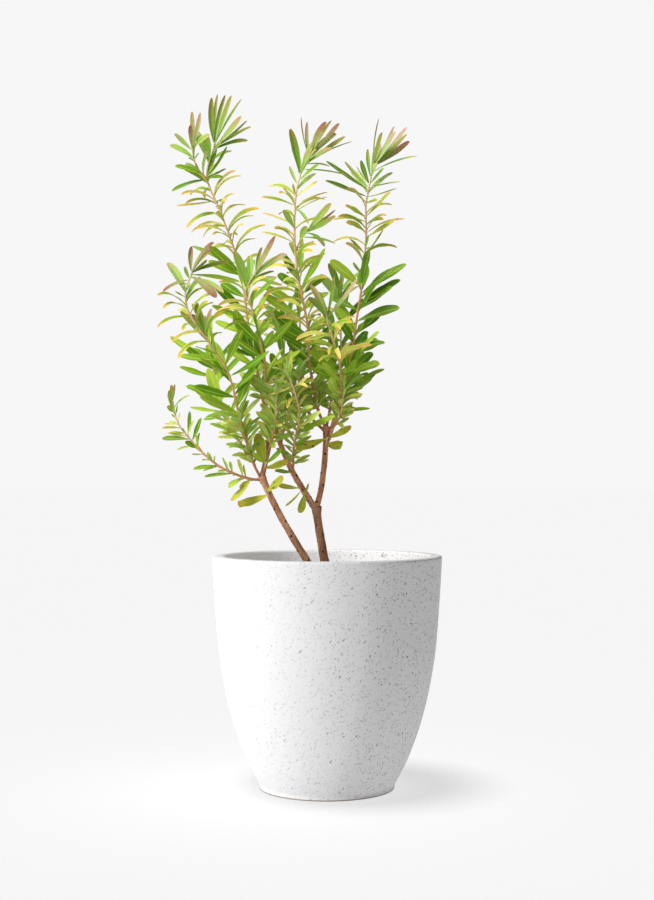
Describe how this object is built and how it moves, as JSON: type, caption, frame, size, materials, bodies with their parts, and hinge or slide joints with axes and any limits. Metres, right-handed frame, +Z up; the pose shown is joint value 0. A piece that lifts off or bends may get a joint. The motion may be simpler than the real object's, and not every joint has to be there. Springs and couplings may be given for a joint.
{
  "type": "potted protea shrub",
  "caption": "Young two-stemmed evergreen shrub with long leathery leaves, growing from soil in a round, tapered, speckled planter.",
  "frame": {"origin": "centre of the planter's flat underside", "axes": "+Z up from the floor, -Y towards the front, +X to the right seen from the front"},
  "size_m": [0.3631, 0.3016, 0.922],
  "materials": {
    "planter": "matte",
    "soil": "matte",
    "bark": "matte",
    "leaf": "satin"
  },
  "bodies": {
    "root": {"planter": "planter", "soil": "soil", "trunk": "bark", "limb_right": "bark", "limb_left": "bark", "stem_left": "bark", "bough_left": "bark", "bough_right": "bark", "foliage_low_left": "leaf", "foliage_front_left": "leaf", "foliage_mid_left": "leaf", "foliage_tall_left": "leaf", "foliage_back_left": "leaf", "foliage_low_front": "leaf", "foliage_inner_left": "leaf", "foliage_front_shoot": "leaf", "foliage_tall_centre": "leaf", "foliage_inner_centre": "leaf", "foliage_back": "leaf", "foliage_front_right": "leaf", "foliage_tall_right": "leaf", "foliage_back_right": "leaf", "foliage_old_head": "leaf", "foliage_old_left": "leaf", "foliage_old_fork": "leaf", "foliage_low_right": "leaf", "foliage_old_right": "leaf"}
  },
  "joints": []
}
